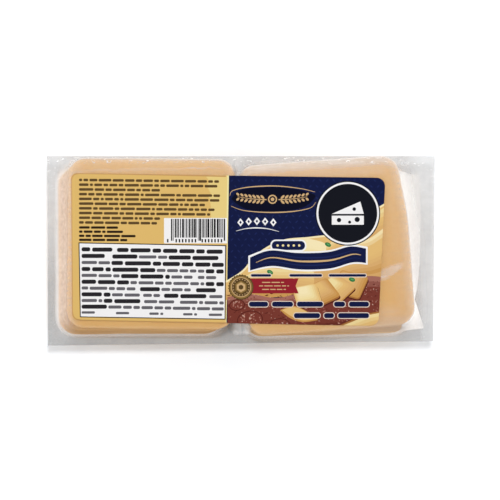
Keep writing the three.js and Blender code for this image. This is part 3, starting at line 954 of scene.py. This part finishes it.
def label_height(x, y):
    def drop_of(v):
        w = v + 0.35
        near = 1.2
        f = lambda u: TOP_ROUND_Z * (1 - np.sqrt(np.maximum(0, 1 - (1 - np.minimum(u, TOP_ROUND_IN) / TOP_ROUND_IN) ** 2)))
        slope = float((f(np.float64(near)) - f(np.float64(near + 0.1))) / 0.1)
        return np.where(w >= near, f(np.maximum(w, near)), f(np.float64(near)) + (near - w) * slope)

    drop = np.minimum(drop_of(in_from_wall(x, y, LEFT)), drop_of(in_from_wall(x, y, RIGHT)))
    between = (x > LEFT["top"][0]) & (x < RIGHT["top"][0])
    u = np.minimum(1.0, np.abs(x - VALLEY_X) / VALLEY_HALF)
    sag = LABEL_SAG * np.cos(math.pi / 2 * u) ** 2
    drop = np.where(between, np.minimum(drop, sag), drop)
    return LABEL_Z - drop


def on_label(p):
    k = UNIT * (CAM_DIST - (PACK_H + 0.5 - FLANGE_Z)) / CAM_DIST
    return (CAM_X + (p[0] - 250) * k, CAM_Y + (250 - p[1]) * k)


def label_outline():
    pts = []
    cs = [Vector(c) for c in LABEL_CORNERS]
    for i, c in enumerate(cs):
        before = (cs[i - 1] - c).normalized()
        after = (cs[(i + 1) % 4] - c).normalized()
        r = LABEL_R if c.x < 0 else LABEL_R_RIGHT
        a, b = c + before * r, c + after * r
        m = a + after * r
        a0 = math.atan2(a.y - m.y, a.x - m.x)
        a1 = math.atan2(b.y - m.y, b.x - m.x)
        while a1 < a0:
            a1 += 2 * math.pi
        for k in range(9):
            t = lerp(a0, a1, k / 8)
            pts.append((m.x + r * math.cos(t), m.y + r * math.sin(t)))
    # points along the long edges, so that they follow the stacks
    out = []
    for p, q in zip(pts, pts[1:] + pts[:1]):
        d = math.hypot(q[0] - p[0], q[1] - p[1])
        steps = max(1, int(d / 2.0))
        for k in range(steps):
            out.append((lerp(p[0], q[0], k / steps), lerp(p[1], q[1], k / steps)))
    return out


class Print:
    """Flat shapes in picture units, in the order they are laid down."""

    def __init__(self):
        self.shapes = []

    def poly(self, pts, colour):
        self.shapes.append(([on_label(p) for p in pts], colour))

    def rect(self, x0, y0, x1, y1, colour, tilt=0.0, about=None):
        ax = about if about is not None else x0
        f = lambda x, y: (x, y + (x - ax) * tilt)
        self.poly([f(x0, y0), f(x1, y0), f(x1, y1), f(x0, y1)], colour)

    def rrect(self, x0, y0, x1, y1, r, colour, n=5):
        pts = []
        for cx, cy, s in ((x1 - r, y0 + r, -0.5), (x1 - r, y1 - r, 0.0), (x0 + r, y1 - r, 0.5), (x0 + r, y0 + r, 1.0)):
            for k in range(n + 1):
                a = math.pi * (s + 0.5 * k / n)
                pts.append((cx + r * math.cos(a), cy + r * math.sin(a)))
        self.poly(pts, colour)

    def disc(self, cx, cy, r, colour, n=24, ry=None, turn=0.0):
        ry = r if ry is None else ry
        c, s = math.cos(turn), math.sin(turn)
        pts = []
        for k in range(n):
            a = 2 * math.pi * k / n
            x, y = r * math.cos(a), ry * math.sin(a)
            pts.append((cx + x * c - y * s, cy + x * s + y * c))
        self.poly(pts, colour)

    def stroke(self, pts, w0, w1, colour, w_mid=None):
        """A line whose width goes from w0 to w1, by way of w_mid."""
        left, right = [], []
        m = len(pts)
        for i, (x, y) in enumerate(pts):
            x0, y0 = pts[max(0, i - 1)]
            x1, y1 = pts[min(m - 1, i + 1)]
            d = math.hypot(x1 - x0, y1 - y0) or 1
            nx, ny = -(y1 - y0) / d, (x1 - x0) / d
            t = i / (m - 1)
            w = lerp(w0, w1, t) if w_mid is None else (lerp(w0, w_mid, 2 * t) if t < 0.5 else lerp(w_mid, w1, 2 * t - 1))
            left.append((x + nx * w / 2, y + ny * w / 2))
            right.append((x - nx * w / 2, y - ny * w / 2))
        self.poly(left + right[::-1], colour)


def curve(points, n=40):
    """A smooth line through points (Catmull-Rom)."""
    p = [points[0]] + list(points) + [points[-1]]
    out = []
    seg = len(points) - 1
    for i in range(seg):
        a, b, c, d = p[i], p[i + 1], p[i + 2], p[i + 3]
        for k in range(max(2, n // seg)):
            t = k / max(2, n // seg)
            out.append(
                tuple(
                    0.5 * (2 * b[j] + (c[j] - a[j]) * t + (2 * a[j] - 5 * b[j] + 4 * c[j] - d[j]) * t * t + (3 * b[j] - a[j] - 3 * c[j] + d[j]) * t**3)
                    for j in (0, 1)
                )
            )
    out.append(tuple(points[-1]))
    return out


def bars(art, rng, x0, x1, y, tall, colour, unit=1.5, space=1.5, tilt=0.0, about=0.0, word=(2, 9)):
    """A line that stands for small print: a row of plain bars of unlike lengths, with no letters."""
    x = x0
    h = tall / 2
    while x < x1 - 2.2 * h:
        end = min(x + max(2.2 * h, rng.randint(*word) * unit), x1)
        dy = ((x + end) / 2 - about) * tilt
        art.rrect(x, y + dy - h, end, y + dy + h, h * 0.8, colour, 3)
        x = end + space


def draw_label():
    art = Print()
    rng = random.Random(19)
    g = GAIN
    YELLOW = lin(229, 190, 113, g)
    YELLOW2 = lin(238, 212, 136, g)
    PALE = lin(250, 240, 178, g)
    INK = lin(48, 34, 22, g)
    SMALL = lin(96, 74, 44, g)
    BOLD = lin(40, 38, 42, g)
    PALER = lin(104, 102, 108, g)
    BLACK = lin(20, 18, 20, g)
    WHITE = lin(250, 249, 250, g)
    NAVY = lin(19, 27, 68, g)
    NAVY2 = lin(31, 42, 92, g)
    DEEP = lin(10, 12, 34, g)
    NIGHT = lin(20, 22, 31, g)
    GOLD = lin(214, 178, 128, g)
    GOLD_D = lin(146, 116, 64, g)
    GOLD_DD = lin(92, 70, 40, g)
    CREAM = lin(246, 226, 166, g)
    OCHRE = lin(233, 192, 122, g)
    TAN = lin(222, 176, 114, g)
    AMBER = lin(204, 150, 80, g)
    BROWN = lin(168, 112, 58, g)
    MEAT = lin(122, 58, 48, g)
    MEAT2 = lin(176, 118, 104, g)
    MEAT3 = lin(88, 34, 28, g)
    MEAT4 = lin(206, 168, 152, g)
    GREEN = lin(46, 122, 70, g)
    GREEN2 = lin(96, 160, 96, g)
    RED = lin(150, 34, 46, g)

    # the two fields, and the thin line where they meet
    def seam(y):
        return 228.7 - (y - 176) * 0.0145

    art.poly([(60, 160), (seam(160), 160), (seam(340), 340), (60, 340)], YELLOW)
    art.poly([(206, 160), (seam(160), 160), (seam(243), 243), (214, 243)], YELLOW2)
    art.poly([(seam(160), 160), (400, 160), (400, 340), (seam(340), 340)], NAVY)
    art.poly([(seam(160) - 1.5, 160), (seam(160), 160), (seam(243), 243), (seam(243) - 1.5, 243)], PALE)
    art.poly([(seam(243) - 0.6, 243), (seam(243), 243), (seam(340), 340), (seam(340) - 0.6, 340)], PALE)

    # a painted shadow line along the label's edge, on its light part
    EDGE_SHADOW = lin(204, 158, 100, g)
    for line in (
        [(227, 323.0), (200, 322.4), (140, 321.4), (82, 320.3)],
        curve([(82, 320.3), (76.5, 319.2), (73.3, 316.4), (72.2, 311.5)], 12),
        [(72.2, 311.5), (71.9, 260), (71.3, 182)],
        curve([(71.3, 182), (71.9, 177.4), (74.8, 174.2), (80, 173.3)], 12),
        [(80, 173.3), (160, 174.8), (226, 176.3)],
    ):
        art.stroke(line, 1.3, 1.3, EDGE_SHADOW)

    # small print on the yellow field
    ends = (219, 221, 160, 220, 223, 205, 215, 212, 160, 157)
    for i, end in enumerate(ends):
        bars(art, rng, 79, end, 179.9 + 4.72 * i, 2.6, SMALL, 1.6, 1.2, 0.012, 79)
    for y, end in ((227.4, 118), (231.6, 126), (235.8, 138), (239.8, 131)):
        bars(art, rng, 79, end, y, 2.4, INK, 1.8, 1.1, 0.006, 79)

    # bars for a till, of random widths
    art.rrect(164, 218, 227, 243.4, 0.6, WHITE)
    x = 171.0
    while x < 225.0:
        w = rng.choice((0.6, 0.8, 1.0, 1.4, 2.0))
        long_bar = x < 173.5 or x > 222.8 or 197.2 < x < 199.6
        art.rect(x, 218.8, min(x + w, 225.6), 240.8 if long_bar else 237.6, BLACK)
        x += w + rng.choice((0.45, 0.55, 0.7, 1.0))
    for a, b in ((167, 169), (175.5, 195.5), (201.5, 221)):
        x = a
        while x < b:
            art.rect(x, 239.0, x + 1.5, 242.4, BLACK)
            x += 3.2

    # the framed panel
    art.poly([(78.5, 242.4), (226.2, 245.2), (225.5, 319.7), (79.9, 317.3)], BLACK)
    art.poly([(79.5, 243.4), (225.2, 246.1), (224.6, 318.7), (80.8, 316.4)], WHITE)
    rows = (249.2, 255.7, 262.3, 268.9, 275.2, 281.6, 287.9, 294.1, 300.3, 306.4, 312.3)
    for i, y in enumerate(rows):
        x = 81.6
        end = 223.8
        while x < end - 8:
            run = rng.uniform(14, 50)
            bold = (rng.random() < 0.58) or i == 0
            stop = min(end, x + run)
            if i == 10:
                bars(art, rng, x, min(stop, x + 14), y, 2.4, PALER, 1.9, 1.5, 0.0185, 80.0, (3, 7))
                stop = min(end, x + rng.uniform(20, 34))
            elif bold:
                bars(art, rng, x, stop, y, 4.1, BOLD, 2.9, 1.8, 0.0185, 80.0, (3, 9))
            else:
                bars(art, rng, x, stop, y, 3.1, PALER, 2.2, 1.5, 0.0185, 80.0, (3, 8))
            x = stop + 1.4

    # a quiet all-over pattern on the dark field: small leaves in a slanted grid
    for r in range(0, 17):
        for c in range(0, 24):
            cx = 232 + c * 6.8 + (r % 2) * 3.4
            cy = 180.5 + r * 5.9
            if cx > 386 or cy > 288:
                continue
            t = 0.8 if (r + c) % 2 else -0.8
            art.disc(cx, cy, 1.7, NAVY2, 8, 0.6, t)

    def tone(stops, t):
        u = min(max(t, 0.0), 1.0) * (len(stops) - 1)
        k = min(int(u), len(stops) - 2)
        return tuple(lerp(a, b, u - k) for a, b in zip(stops[k], stops[k + 1]))

    def shaded(upper, lower, stops, n=9):
        """Fills from one curve to another in strips that go through the given colours."""
        for k in range(n):
            a, b = k / n, 1.0
            first = [(lerp(p[0], q[0], a), lerp(p[1], q[1], a)) for p, q in zip(upper, lower)]
            last = [(lerp(p[0], q[0], b), lerp(p[1], q[1], b)) for p, q in zip(upper, lower)]
            art.poly(first + last[::-1], tone(stops, (k + 0.5) / n))

    LIGHT = lin(252, 236, 188, g)
    # the warm field below, under one long sweep
    sweep = curve([(226, 281), (243, 270), (258, 253), (282, 240), (312, 236.5), (344, 231), (372, 211), (400, 195)], 56)
    floor_ = curve([(226, 300), (262, 298), (300, 296), (340, 296), (400, 296)], 56)
    shaded(sweep, floor_, [OCHRE, OCHRE, TAN, AMBER], 10)
    art.stroke([(x, y + 0.9) for x, y in sweep], 1.8, 1.8, LIGHT)
    # soft bent slices
    shaded(curve([(262, 258), (278, 242), (300, 238), (322, 242), (332, 250)], 30), curve([(262, 274), (280, 270), (300, 268), (320, 268), (332, 268)], 30), [LIGHT, LIGHT, CREAM, OCHRE, TAN], 9)
    shaded(curve([(326, 246), (340, 236), (358, 226), (374, 214), (392, 203)], 30), curve([(326, 266), (344, 262), (362, 256), (378, 250), (392, 246)], 30), [CREAM, OCHRE, TAN, AMBER, BROWN], 10)
    shaded(curve([(340, 252), (354, 243), (370, 238), (384, 228), (394, 224)], 30), curve([(340, 280), (356, 276), (372, 274), (386, 270), (394, 268)], 30), [LIGHT, OCHRE, OCHRE, TAN, AMBER], 10)
    shaded(curve([(246, 276), (262, 268), (282, 269), (300, 268), (314, 272)], 30), curve([(246, 300), (262, 296), (282, 297), (300, 296), (314, 296)], 30), [CREAM, OCHRE, TAN, AMBER], 9)

    # cured meat across the bottom, with marbling
    edge = curve([(227.4, 297), (250, 294), (276, 298), (300, 293), (330, 289), (352, 279), (372, 276), (400, 280)], 40)
    shaded(edge, [(max(x, 226.8), 340) for x, _ in edge], [MEAT2, MEAT, MEAT, MEAT, MEAT3, MEAT3], 12)
    for _ in range(90):
        cx, cy = rng.uniform(228, 386), rng.uniform(282, 326)
        a, ln = rng.uniform(-0.5, 0.9), rng.uniform(2.0, 6.5)
        pts = [(cx + ln * t * math.cos(a), cy + ln * t * math.sin(a) + 0.5 * math.sin(5 * t + cx)) for t in (-0.5, -0.25, 0, 0.25, 0.5)]
        if cy > 293 or cx > 350:
            art.stroke(pts, 0.15, 0.15, rng.choice((MEAT2, MEAT3, MEAT3)), rng.uniform(0.5, 1.3))
    for _ in range(520):
        cx, cy = rng.uniform(228, 386), rng.uniform(281, 325.5)
        if cy > 294 or cx > 350:
            art.disc(cx, cy, rng.uniform(0.3, 0.95), rng.choice((MEAT2, MEAT2, MEAT3, MEAT3, MEAT4)), 5, rng.uniform(0.25, 0.6), rng.uniform(0, 3.1))
    # pieces of it that are cut round
    for cx, cy, r in ((250, 320, 13), (279, 327, 12), (237, 305, 8)):
        art.disc(cx, cy, r, MEAT3, 32, r * 0.72, -0.15)
        art.disc(cx, cy, r - 0.9, MEAT, 32, r * 0.72 - 0.9, -0.15)
        for _ in range(int(r * 3.2)):
            a, d = rng.uniform(0, 6.28), (r - 2.4) * math.sqrt(rng.random())
            x, y = cx + d * math.cos(a), cy + 0.72 * d * math.sin(a)
            if x > 229.4:
                art.disc(x, y, rng.uniform(0.35, 0.9), rng.choice((MEAT2, MEAT2, MEAT4)), 6)

    # a fan of square slices, each shaded across its face, with a cut edge and a shadow
    def square(cx, cy, half, turn, stops, cut, squash=0.78):
        def pts(h, rr, ox=0.0, oy=0.0):
            out = []
            for sx, sy, st in ((1, 1, 0.0), (-1, 1, 0.5), (-1, -1, 1.0), (1, -1, 1.5)):
                for k in range(6):
                    a = math.pi * (st + 0.5 * k / 5)
                    x, y = sx * (h - rr) + rr * math.cos(a), sy * (h - rr) + rr * math.sin(a)
                    out.append((cx + ox + x * math.cos(turn) - y * math.sin(turn), cy + oy + squash * (x * math.sin(turn) + y * math.cos(turn))))
            return out
        art.poly(pts(half + 0.3, 3.2, 0.7, 2.6), MEAT3)
        art.poly(pts(half, 3.2, 0.3, 1.5), cut)
        for k in range(7):
            h = half * (1 - 0.11 * k)
            art.poly(pts(h, min(3.0, h * 0.4), -0.085 * half * k * 0.6, -0.085 * half * k * 0.7), tone(stops, k / 6))

    square(350, 284, 14.5, 0.34, [AMBER, TAN, OCHRE], BROWN)
    square(336, 288, 14.0, 0.70, [TAN, OCHRE, CREAM], AMBER)
    square(322, 292, 13.5, 1.02, [AMBER, TAN, OCHRE], BROWN)
    square(307, 295, 12.5, 1.34, [OCHRE, CREAM, LIGHT], AMBER)
    # a corner slice at the lower right, and one at the foot of the meat
    art.poly(curve([(334, 328), (350, 320.8), (368, 313.6), (388, 310.4)], 16) + [(392, 335), (334, 335)], BROWN)
    shaded(curve([(337, 328), (352, 321.9), (369, 315.0), (390, 311.4)], 16), [(337, 335), (352, 335), (369, 335)] + [(lerp(369, 392, k / 12), 335) for k in range(1, 14)], [CREAM, OCHRE, TAN, AMBER], 7)
    art.poly(curve([(280, 310), (290, 318), (303, 322), (318, 320)], 20) + curve([(318, 320), (308, 312), (294, 306), (280, 310)], 20), AMBER)
    art.poly(curve([(282, 310), (292, 316.6), (303, 320.4), (316, 319)], 20) + curve([(316, 319), (307, 312), (294, 307), (282, 310)], 20), OCHRE)

    # herbs: single broad leaves with a lighter middle
    for cx, cy, t in ((328, 244.6, 0.45), (270, 272.2, 0.5), (352, 279.6, 0.35)):
        art.disc(cx, cy, 3.3, GREEN, 14, 2.1, t)
        art.disc(cx + 0.2, cy - 0.2, 1.9, GREEN2, 10, 0.9, t)

    # a bare ribbon with a white border, and a small bare tab over it
    def ribbon(grow, colour):
        top = [(x, y - grow) for x, y in curve([(250 - grow, 257.5), (270, 250.5), (298, 253), (328, 252), (350, 246.5), (366 + grow, 248.5)], 44)]
        low = [(x, y + grow) for x, y in curve([(250 - grow, 270.5), (272, 266), (300, 269.5), (330, 268.5), (352, 262.5), (366 + grow, 263)], 44)]
        art.poly(top + low[::-1], colour)

    art.rrect(270.4, 239.6, 306.4, 251.4, 5.2, WHITE, 6)
    art.rrect(271.8, 241.0, 305.0, 250.0, 4.2, NAVY, 6)
    for k in range(5):
        art.disc(277.6 + 5.4 * k, 245.5, 1.25, CREAM, 10)
    ribbon(1.7, WHITE)
    ribbon(0.0, NAVY)
    mid = curve([(256, 262.5), (272, 257.6), (300, 261.3), (330, 260.3), (352, 254.4), (361, 255)], 40)
    art.stroke(mid, 0.5, 0.5, GOLD, 2.0)
    art.stroke([(x, y - 3.6) for x, y in mid], 0.3, 0.3, NAVY2, 1.2)
    art.stroke([(x, y + 3.8) for x, y in mid], 0.3, 0.3, NAVY2, 1.2)

    # rows of plain bars with a light border
    rows = (
        (275.4, 1.25, (251, 271, 289.5, 322, 329, 366)),
        (304.2, 2.5, (249, 268, 272, 293, 297, 323, 334, 345, 349, 369)),
        (315.6, 2.5, (294, 320, 324, 334, 338, 369)),
    )
    for y, half, ends in rows:
        for grow, colour in ((0.8, lin(232, 214, 200, g)), (0.0, NAVY)):
            for a, b in zip(ends[::2], ends[1::2]):
                art.rrect(a - grow, y - half - grow, b + grow, y + half + grow, half * 0.9 + grow * 0.9, colour, 6)

    # a rosette and a plain red plaque beside it
    art.rrect(246, 278.4, 294.2, 293.4, 1.2, RED)
    art.poly([(294.2, 278.4), (298.6, 278.4), (295.6, 285.9), (298.6, 293.4), (294.2, 293.4)], RED)
    for y, a, b in ((282.4, 262, 284), (285.9, 259, 289), (289.4, 262, 286)):
        bars(art, rng, a, b, y, 1.0, GOLD, 1.4, 1.1, 0.0, 0.0, (3, 6))
    pts = []
    for k in range(56):
        r = 13.0 if k % 2 else 12.1
        a = 2 * math.pi * k / 56
        pts.append((241 + r * math.cos(a), 287.2 + r * math.sin(a)))
    art.poly(pts, GOLD_DD)
    art.disc(241, 287.2, 11.4, GOLD_D, 36)
    art.disc(241, 287.2, 9.9, GOLD, 36)
    art.disc(241, 287.2, 9.2, GOLD_DD, 36)
    art.disc(241, 287.2, 6.4, GOLD_D, 6, None, 0.52)
    art.disc(241, 287.2, 4.9, GOLD, 6, None, 0.52)
    art.disc(241, 287.2, 2.6, GOLD_DD, 6, None, 0.52)
    for k in range(18):
        a = 2 * math.pi * k / 18
        art.disc(241 + 7.9 * math.cos(a), 287.2 + 7.9 * math.sin(a), 0.55, GOLD, 6)

    # a frame of two gold curves with a sprig in it, on the dark field
    art.poly(curve([(231, 199), (240, 190.5), (262, 187.5), (286, 188), (312, 193.5), (314, 199), (300, 208.5), (272, 211.5), (246, 209), (231, 199)], 90), DEEP)
    art.stroke(curve([(229.6, 196), (233, 190.5), (250, 187), (276, 186), (300, 188.5), (315, 192)], 40), 0.3, 0.4, GOLD, 1.2)
    art.stroke(curve([(231, 206), (244, 210.5), (268, 212.4), (292, 211.5), (310, 208), (316, 202)], 40), 0.4, 0.3, GOLD, 1.2)
    art.disc(272.5, 199.3, 4.6, GOLD, 24)
    art.disc(272.5, 199.3, 3.3, DEEP, 24)
    art.disc(272.5, 199.3, 1.8, GOLD, 16)
    for side in (-1, 1):
        stem = [(272.5 + side * (6 + 4.1 * k), 199.6 - 0.06 * k * k) for k in range(8)]
        art.stroke(stem, 1.0, 0.4, GOLD)
        for k in range(1, 8):
            x, y = stem[k]
            art.disc(x, y - 2.5, 2.7 - 0.12 * k, GOLD, 10, 1.15, -side * 0.75)
            art.disc(x, y + 2.5, 2.7 - 0.12 * k, GOLD, 10, 1.15, side * 0.75)
    # a row of white lozenges over a thin bowed line
    for k in range(5):
        art.disc(240.5 + 8.2 * k, 222.4 - 1.2 * math.sin(math.pi * k / 4), 3.2, WHITE, 4, 4.1)
        art.disc(240.5 + 8.2 * k, 222.4 - 1.2 * math.sin(math.pi * k / 4), 1.3, NAVY, 4, 1.7)
    art.stroke(curve([(236, 231), (246, 228.6), (257, 227.9), (268, 228.8), (279, 231.6)], 24), 0.3, 0.3, WHITE, 1.2)

    # a dark roundel with a light rim and a wedge in it
    cx, cy = 347.8, 213.3
    art.disc(cx, cy, 32.4, NIGHT, 72)
    art.disc(cx, cy, 31.3, WHITE, 72)
    art.disc(cx, cy, 29.4, NIGHT, 72)
    art.poly([(cx - 16.0, cy + 0.6), (cx + 12.5, cy - 11.8), (cx + 16.0, cy + 0.6)], WHITE)
    art.poly([(cx - 16.0, cy + 2.4), (cx + 16.0, cy + 2.4), (cx + 16.0, cy + 11.4), (cx - 16.0, cy + 11.4)], WHITE)
    for hx, hy, r in ((-8.8, 6.8, 2.2), (1.8, 8.8, 1.5), (9.4, 6.2, 2.6), (6.4, -4.2, 1.8)):
        art.disc(cx + hx, cy + hy, r, NIGHT, 18)
    return art.shapes


def inside(points, poly):
    """Which of the points lie in the polygon (even-odd)."""
    x, y = points[:, 0], points[:, 1]
    hit = np.zeros(len(points), bool)
    px, py = poly[:, 0], poly[:, 1]
    qx, qy = np.roll(px, -1), np.roll(py, -1)
    for a, b, c, d in zip(px, py, qx, qy):
        if b == d:
            continue
        cross = (b > y) != (d > y)
        if cross.any():
            xi = (c - a) * (y - b) / (d - b) + a
            hit ^= cross & (x < xi)
    return hit


def make_label(material):
    outline = label_outline()
    shapes = draw_label()
    box = (-101.5, -46.0, 87.0, 46.0)
    coords, edges = [], []

    def add(poly):
        base = len(coords)
        coords.extend(poly)
        m = len(poly)
        edges.extend((base + i, base + (i + 1) % m) for i in range(m))

    add(outline)
    for pts, _ in shapes:
        # shapes far outside the label are trimmed to its surroundings first
        add([(min(max(x, box[0]), box[2]), min(max(y, box[1]), box[3])) for x, y in pts])
    for gx in np.arange(-99, 86, 3.0):
        for gy in np.arange(-44, 44.5, 2.0):
            coords.append((float(gx) + 0.013 * float(gy), float(gy)))
    out = delaunay_2d_cdt([Vector(c) for c in coords], edges, [], 0, 1e-4, False)
    pts = np.array([tuple(v) for v in out[0]])
    tris = np.array([f for f in out[2] if len(f) == 3])
    # turn every triangle the same way round
    a, b, c = pts[tris[:, 0]], pts[tris[:, 1]], pts[tris[:, 2]]
    area = ((b[:, 0] - a[:, 0]) * (c[:, 1] - a[:, 1]) - (b[:, 1] - a[:, 1]) * (c[:, 0] - a[:, 0])) / 2
    flip = area < 0
    tris[flip] = tris[flip][:, ::-1]
    mids = (a + b + c) / 3
    keep = inside(mids, np.array(outline))
    tris, mids = tris[keep], mids[keep]
    colour = np.zeros((len(tris), 4))
    colour[:] = (1, 1, 1, 1)
    for poly, col in shapes:
        poly = np.array(poly)
        lo, hi = poly.min(0), poly.max(0)
        near = np.nonzero((mids[:, 0] > lo[0]) & (mids[:, 0] < hi[0]) & (mids[:, 1] > lo[1]) & (mids[:, 1] < hi[1]))[0]
        if len(near):
            hit = inside(mids[near], poly)
            colour[near[hit]] = col
    used = np.unique(tris)
    remap = -np.ones(len(pts), int)
    remap[used] = np.arange(len(used))
    pts, tris = pts[used], remap[tris]
    z = label_height(pts[:, 0], pts[:, 1])
    top = np.column_stack([pts, z + LABEL_THICK])
    low = np.column_stack([pts, z])
    n = len(pts)
    # the rim joins the two
    seen = {}
    for t in tris:
        for i in range(3):
            e = (int(t[i]), int(t[(i + 1) % 3]))
            if (e[1], e[0]) in seen:
                del seen[(e[1], e[0])]
            else:
                seen[e] = True
    faces = [tuple(int(i) for i in t) for t in tris]
    faces += [tuple(int(i) + n for i in t[::-1]) for t in tris]
    rim_c = []
    for p, q in seen:
        faces.append((p, p + n, q + n, q))
        rim_c.append(lin(240, 238, 235, GAIN))
    me = bpy.data.meshes.new("printed_label")
    me.from_pydata([tuple(v * MM) for v in np.vstack([top, low])], [], faces)
    att = me.attributes.new("ink", "FLOAT_COLOR", "CORNER")
    cols = []
    back = lin(236, 234, 230, GAIN)
    for i, f in enumerate(me.polygons):
        c = colour[i] if i < len(tris) else (back if i < 2 * len(tris) else rim_c[i - 2 * len(tris)])
        cols.extend(list(c) * f.loop_total)
    att.data.foreach_set("color", cols)
    me.update()
    ob = bpy.data.objects.new("printed_label", me)
    bpy.context.scene.collection.objects.link(ob)
    me.materials.append(material)
    print("label: triangles", len(faces), "verts", len(me.vertices), "shapes", len(shapes))
    return ob


# ---------------------------------------------------------------------------
# build
# ---------------------------------------------------------------------------
left = stack_of_slices("left_slices", LEFT, 11, cheese_material("cheese_left", 0.0))
right = stack_of_slices("right_slices", RIGHT, 23, cheese_material("cheese_right", 1.7))
film = make_film(film_material())
paper = sheet_material()
sheet_a = sheet("separator_outer", [(173.4, 408), (175.0, 420.4), (210, 420.7), (245, 420.3), (262, 419.6), (278, 418.2), (290, 416.6), (303, 413)], 0.0, paper)
sheet_b = sheet("separator_inner", [(171.2, 400), (173.2, 408), (176, 411.4), (200, 410.8), (230, 412.0), (260, 414.6), (285, 416.0), (296, 415.0), (304, 413.4)], 0.35, paper)
# the lowest sheet gets a lighter copy of the paper, painted light against the shade it lies in under the film
sheet_c = sheet("separator_lower", [(296, 411), (300, 414.6), (306, 416.6), (314, 419.3), (322, 422.0), (328.2, 424.2), (329.4, 414), (330.6, 405)], -0.30, sheet_material("separator_sheet_lower_painted_lighter", 0.97))
label = make_label(label_material())

for piece in (left, right, film, sheet_a, sheet_b, sheet_c):
    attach(piece, "root")
    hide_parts("sealed_pack")
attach(label, "root")
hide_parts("label")

# ---------------------------------------------------------------------------
# floor, light and camera
# ---------------------------------------------------------------------------
bm = bmesh.new()
bmesh.ops.create_grid(bm, x_segments=2, y_segments=2, size=3.0)
me = bpy.data.meshes.new("floor")
bm.to_mesh(me)
bm.free()
floor = bpy.data.objects.new("floor", me)
bpy.context.scene.collection.objects.link(floor)
fm = Mat("floor_white")
fp = fm.node("ShaderNodeBsdfPrincipled")
fp.inputs["Base Color"].default_value = (0.90, 0.925, 0.955, 1)
fp.inputs["Roughness"].default_value = 0.9
fp.inputs["Specular IOR Level"].default_value = 0.1
fp.inputs["Emission Color"].default_value = (1, 1, 1, 1)
fp.inputs["Emission Strength"].default_value = 0.05
fm.link(fp.outputs["BSDF"], fm.out.inputs["Surface"])
me.materials.append(fm.m)

scene = bpy.context.scene
world = bpy.data.worlds.new("studio")
scene.world = world
world.use_nodes = True
bg = world.node_tree.nodes["Background"]
bg.inputs["Color"].default_value = (1.0, 1.0, 1.0, 1)
bg.inputs["Strength"].default_value = 0.30


def area(name, location, target, size_x, size_y, power, glossy=True, diffuse=1.0):
    light = bpy.data.lights.new(name, "AREA")
    light.shape = "RECTANGLE"
    light.size, light.size_y = size_x, size_y
    light.energy = power
    light.specular_factor = 1.0
    light.diffuse_factor = diffuse
    ob = bpy.data.objects.new(name, light)
    ob.location = location
    direction = Vector(target) - Vector(location)
    ob.rotation_euler = direction.to_track_quat("-Z", "Y").to_euler()
    ob.visible_glossy = glossy
    ob.visible_camera = False
    scene.collection.objects.link(ob)
    return ob


# the main light hangs almost overhead, a little towards the top of the picture
area("key", (0.08, 0.44, 1.95), (0, 0, 0), 0.22, 0.30, 19.0, glossy=False)
# low fill from all sides, mostly for the walls of the stacks
area("fill_front", (0.0, -1.45, 0.40), (0, 0, 0.02), 1.4, 0.4, 8.0, glossy=False)
area("fill_left", (-1.45, 0.0, 0.40), (0, 0, 0.02), 1.0, 0.4, 11.0, glossy=False)
area("fill_right", (1.45, 0.0, 0.40), (0, 0, 0.02), 1.0, 0.4, 11.0, glossy=False)
area("fill_back", (0.0, 1.45, 0.40), (0, 0, 0.02), 1.4, 0.4, 10.0, glossy=False)

cam = bpy.data.cameras.new("camera")
cam.sensor_width = 36.0
cam.lens = 36.0 * CAM_DIST / (500 * UNIT)
cam.clip_start, cam.clip_end = 0.05, 20
cam_ob = bpy.data.objects.new("camera", cam)
cam_ob.location = (CAM_X * MM, CAM_Y * MM, (CAM_DIST + FLANGE_Z) * MM)
cam_ob.rotation_euler = (0, 0, 0)
scene.collection.objects.link(cam_ob)
scene.camera = cam_ob

scene.view_settings.view_transform = "Standard"
scene.view_settings.look = "None"
